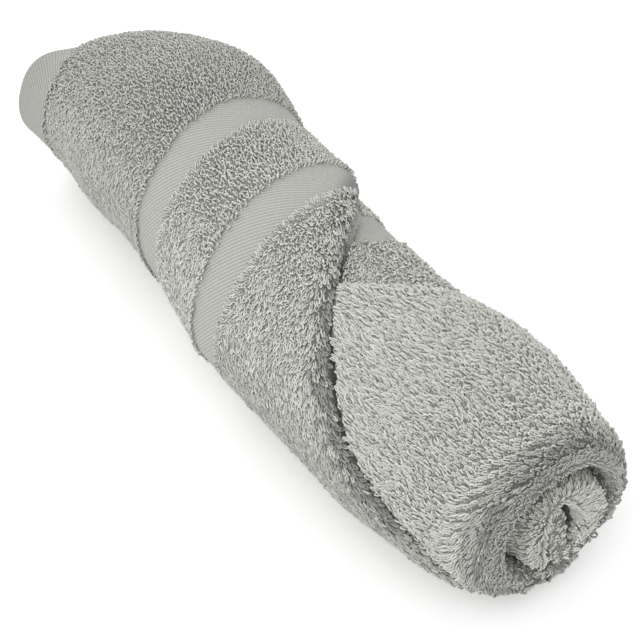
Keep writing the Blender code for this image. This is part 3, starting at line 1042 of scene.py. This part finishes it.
def has_pile(place, turn, rng):
    """Whether a loop stands at a place: not on flat-woven cloth, and not in the open creases."""
    along = along_of(place)
    bare = flat_woven(along, turn, BARE_EDGE) * (place < SIDE_END)
    past_fold = past_bias_fold(along, turn)
    ragged = (rng.random(len(place)) < RAGGED_SHARE) & (past_tongue_edge(along, turn) > 0.0)
    crease_end = from_table(CREASE, np.degrees(turn))[0] + RAGGED_EDGE * ragged
    in_crease = (past_fold > CREASE_STARTS) & (past_fold < crease_end) & (place < FACE_START)
    reach = face_reach(place)
    open_slit = (core_crease(reach, turn) > SLIT_DEPTH) & (reach * np.cos(turn) > ARCH_MIDDLE)
    return (bare < 0.5) & ~in_crease & ~((place > FACE_START) & open_slit)


def pile_points(rng):
    """Every loop's foot, axis, plane, size, shape and yarn."""
    place, turn = loop_places(rng)
    keep = has_pile(place, turn, rng)
    place, turn = place[keep], turn[keep]
    part = part_of_pile(place, turn, rng)
    foot, outwards, along, round_it = skin_frame(place, turn)
    lean, heading, length, turned, thickness, shape = lay_of_pile(place, turn, part, rng)
    ahead = unit(along * np.cos(heading)[:, None] + round_it * np.sin(heading)[:, None])
    stand = unit(outwards * np.cos(lean)[:, None] + ahead * np.sin(lean)[:, None])
    in_rows = rng.random(len(place)) > soft_step(turn - ROWS_TO, ROWS_OVER)
    in_rows = in_rows & (part == OUTER)
    flat_side = np.where(in_rows[:, None], along, np.cross(ahead, outwards))
    flat_side = unit(flat_side - stand * np.sum(flat_side * stand, axis=-1, keepdims=True))
    across = flat_side * np.cos(turned)[:, None] + np.cross(stand, flat_side) * np.sin(turned)[:, None]
    wide = thickness * pitch_at(turn) / FINE_PITCH * (1.0 + rng.normal(0.0, WIDTH_SPREAD, len(place)))
    foot = foot - outwards * FOOT_SUNK
    values = {
        "foot": foot, "stand": stand, "across": across, "scale": np.stack([wide, wide, length], axis=1),
        "shape": shape, "shade": yarn_shade(place, turn, part, rng), "place": place, "turn": turn,
    }
    clear = (foot[:, 2] > LOW_FOOT) | (outwards[:, 2] > FACES_DOWN)
    return {name: value[clear] for name, value in values.items()}


def feet_of(name, points, chosen):
    """A mesh with only the loops' feet, each with what its loop is to be."""
    feet = bpy.data.meshes.new(name + "_feet")
    feet.from_pydata(points["foot"][chosen].tolist(), [], [])
    for field, (kind, slot) in FIELDS.items():
        column = feet.attributes.new(field, kind, "POINT")
        values = points[field][chosen]
        column.data.foreach_set(slot, values.astype(np.float32 if kind != "INT" else np.int32).ravel())
    return new_object(name + "_feet", feet)


def keep_above_floor(mesh):
    """Lifts what would go through the floor."""
    places = np.zeros(len(mesh.vertices) * 3, np.float32)
    mesh.vertices.foreach_get("co", places)
    places = places.reshape(-1, 3)
    places[:, 2] = np.maximum(places[:, 2], FLOOR_CLEARANCE)
    mesh.vertices.foreach_set("co", places.ravel())


def pile_piece(name, points, chosen, tree):
    """One stretch of the pile as a plain mesh."""
    holder = feet_of(name, points, chosen)
    modifier = holder.modifiers.new("loops", "NODES")
    modifier.node_group = tree
    for item in tree.interface.items_tree:
        if item.in_out == "INPUT" and item.name in LOOP_SIZES:
            modifier[item.identifier] = LOOP_SIZES[item.name]
    shown = holder.evaluated_get(bpy.context.evaluated_depsgraph_get())
    mesh = bpy.data.meshes.new_from_object(shown)
    mesh.name = name
    bpy.data.objects.remove(holder, do_unlink=True)
    for field in FIELDS:
        if field in mesh.attributes:
            mesh.attributes.remove(mesh.attributes[field])
    keep_above_floor(mesh)
    mesh.shade_smooth()
    return new_object(name, mesh)


def terry_pile(yarns):
    """The pile, in pieces: the far end in front and behind, the strip, the flap, the tongue in front and
    behind, and the near end. The pile, in pieces that each stay small enough.
    """
    points = pile_points(np.random.default_rng(PILE_SEED))
    tree = loop_tree(yarns)
    place, turn = points["place"], points["turn"]
    along = along_of(place)
    below = past_bias_fold(along, turn) > 0.0
    far = along < BAND_STARTS[0] + BAND_WIDTH / 2
    front = (turn > FRONT_TURNS[0]) & (turn < FRONT_TURNS[1])
    strip = ~far & ~below & (along < BAND_STARTS[1] + BAND_WIDTH / 2)
    end = below & (place > SIDE_END + END_PIECE_FROM * SHOULDER_ARC)
    rest = below & ~end
    stretches = {
        "far_pile_front": far & front & ~below, "far_pile_back": far & ~front & ~below,
        "strip_pile": strip, "flap_pile": ~far & ~below & ~strip,
        "tongue_pile_front": rest & front, "tongue_pile_back": rest & ~front, "end_pile": end,
    }
    return [pile_piece(name, points, chosen, tree) for name, chosen in stretches.items()]


# Finishes


def new_material(name):
    """An empty material and its nodes."""
    material = bpy.data.materials.new(name)
    material.use_nodes = True
    material.node_tree.nodes.clear()
    return material, Nodes(material.node_tree)


def finish_material(nodes, sockets):
    """Ends a material with its shader, set by these sockets."""
    shader = nodes.add("ShaderNodeBsdfPrincipled", None, sockets)
    nodes.add("ShaderNodeOutputMaterial", None, {"Surface": shader})


def yarn(name, colour):
    """Soft cotton yarn."""
    material, nodes = new_material(name)
    finish_material(nodes, {
        "Base Color": (*colour, 1.0), "Roughness": 0.9, "Sheen Weight": 0.25, "Sheen Roughness": 0.5,
        "Specular IOR Level": 0.15,
    })
    return material


def weave_of(nodes, place):
    """The ribs of the weave and its relief, and whether it is in the hem."""
    split = nodes.add("ShaderNodeSeparateXYZ", None, {0: place}).socket.node
    along, across = Value(nodes, split.outputs[0]), Value(nodes, split.outputs[1])
    in_hem = along.maths("LESS_THAN", along, HEM_WIDTH)
    slant_along, slant_across = RIB_SLANT
    slant = along * slant_along + across * (slant_across - in_hem * HEM_SLANT)
    ribs = slant.maths("SINE", slant * (2 * math.pi / RIB_PITCH)) * 0.5 + 0.5
    picks = (across * slant_along - along * slant_across) * (2 * math.pi / PICK_PITCH)
    picks = picks.maths("SINE", picks + slant * PICK_SHIFT) * 0.5 + 0.5
    specks = nodes.add("ShaderNodeTexNoise", None, {
        "Vector": place, "Scale": SPECKS_EACH_METRE, "Detail": 3.0,
    })
    return ribs, ribs * RIB_RELIEF + picks * PICK_RELIEF + specks * SPECK_RELIEF, in_hem


def feet_spots(nodes, place):
    """Light spots where the loops' feet stand, with dark lines between them: relief, and painted shade in
    the ground's colour.
    """
    shifted = nodes.add("ShaderNodeVectorMath", {"operation": "MULTIPLY_ADD"}, {
        0: nodes.add("ShaderNodeTexNoise", None, {"Vector": place, "Scale": SHIFTS_EACH_METRE}, output=1),
        1: SHIFT, 2: place,
    })
    spots = nodes.add("ShaderNodeTexVoronoi", {"feature": "DISTANCE_TO_EDGE"}, {
        "Vector": shifted, "Scale": SPOTS_EACH_METRE,
    })
    return spots.maths("MINIMUM", spots * SPOT_STEEPNESS, 1.0)


def ground_cloth():
    """The ground of the cloth: fine slanting ribs where it is flat-woven, with painted shade under the
    pile, in the creases, beside the bias fold, at the near end and in the groove.
    """
    material, nodes = new_material("ground_cloth")
    woven = nodes.add("ShaderNodeAttribute", {"attribute_name": "woven"}, output=2)
    deep = nodes.add("ShaderNodeAttribute", {"attribute_name": "deep"}, output=2)
    place = nodes.add("ShaderNodeAttribute", {"attribute_name": "flat_place"}, output=1)
    ribs, weave_relief, in_hem = weave_of(nodes, place)
    spots = feet_spots(nodes, place)
    relief = nodes.add("ShaderNodeBump", None, {
        "Strength": 1.0, "Distance": RELIEF_DEPTH,
        "Height": weave_relief * woven + spots * (1.0 - woven) * SPOT_RELIEF,
    })
    weave = (WEAVE_SHADE[0] + ribs * WEAVE_SHADE[1]) * (1.0 - in_hem * HEM_DARKER)
    # Painted shade: the ground is darker under the pile, and darker still in the creases, beside the fold,
    # at the near end and in the groove.
    under_pile = SPOT_SHADE[0] + spots * SPOT_SHADE[1]
    shade = (woven * weave + (1.0 - woven) * under_pile) * (1.0 - deep * PAINTED_SHADE_DARKER)
    colour = nodes.add("ShaderNodeMix", {"data_type": "RGBA"}, {
        0: shade, 6: GROUND_DARK, 7: GROUND_LIGHT,
    }, output=2)
    finish_material(nodes, {
        "Base Color": colour, "Roughness": 0.9, "Sheen Weight": 0.15, "Specular IOR Level": 0.2,
        "Normal": relief,
    })
    return material


# The set


def floor():
    """A pale floor that shines a little, like a light table."""
    mesh = bpy.data.meshes.new("floor")
    mesh.from_pydata(FLOOR_CORNERS, [], [(0, 1, 2, 3)])
    material, nodes = new_material("pale_floor")
    finish_material(nodes, {
        "Base Color": FLOOR_COLOUR, "Roughness": 0.9, "Specular IOR Level": 0.1,
        "Emission Color": WHITE, "Emission Strength": FLOOR_GLOW,
    })
    mesh.materials.append(material)
    plane = new_object("floor", mesh)


def aim(holder, place, target):
    """Puts a lamp or the camera at a place, and turns it to a target."""
    holder.location = place
    holder.rotation_mode = "QUATERNION"
    holder.rotation_quaternion = (Vector(target) - Vector(place)).to_track_quat("-Z", "Y")


def lamp(name, place, target, size, power):
    """One square lamp."""
    light = bpy.data.lights.new(name, "AREA")
    light.shape = "SQUARE"
    light.size = size
    light.energy = power
    aim(new_object(name, light), place, target)


def studio():
    """A bright, even surrounding and the lamps."""
    world = bpy.data.worlds.new("studio")
    world.use_nodes = True
    background = world.node_tree.nodes["Background"]
    background.inputs["Color"].default_value = WHITE
    background.inputs["Strength"].default_value = WORLD_STRENGTH
    bpy.context.scene.world = world
    bpy.context.scene.view_settings.view_transform = "Standard"
    for settings in LAMPS:
        lamp(*settings)


def camera():
    """The camera, at the photo's angle."""
    data = bpy.data.cameras.new("camera")
    data.sensor_width = CAMERA_SENSOR
    data.lens = CAMERA_LENS
    data.clip_start = CAMERA_NEAREST
    holder = new_object("camera", data)
    aim(holder, CAMERA_PLACE, CAMERA_TARGET)
    bpy.context.scene.camera = holder


def main():
    """Builds the set, the cloth and its pile, attaches them to the root and hides the part they stand in
    for.
    """
    floor()
    studio()
    camera()
    yarns = [yarn(name, colour) for name, colour in YARNS]
    cloth = towel_cloth(ground_cloth())
    pile = terry_pile(yarns)
    for piece in [cloth, *pile]:
        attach(piece, "root")
    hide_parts("rolled_towel")


main()
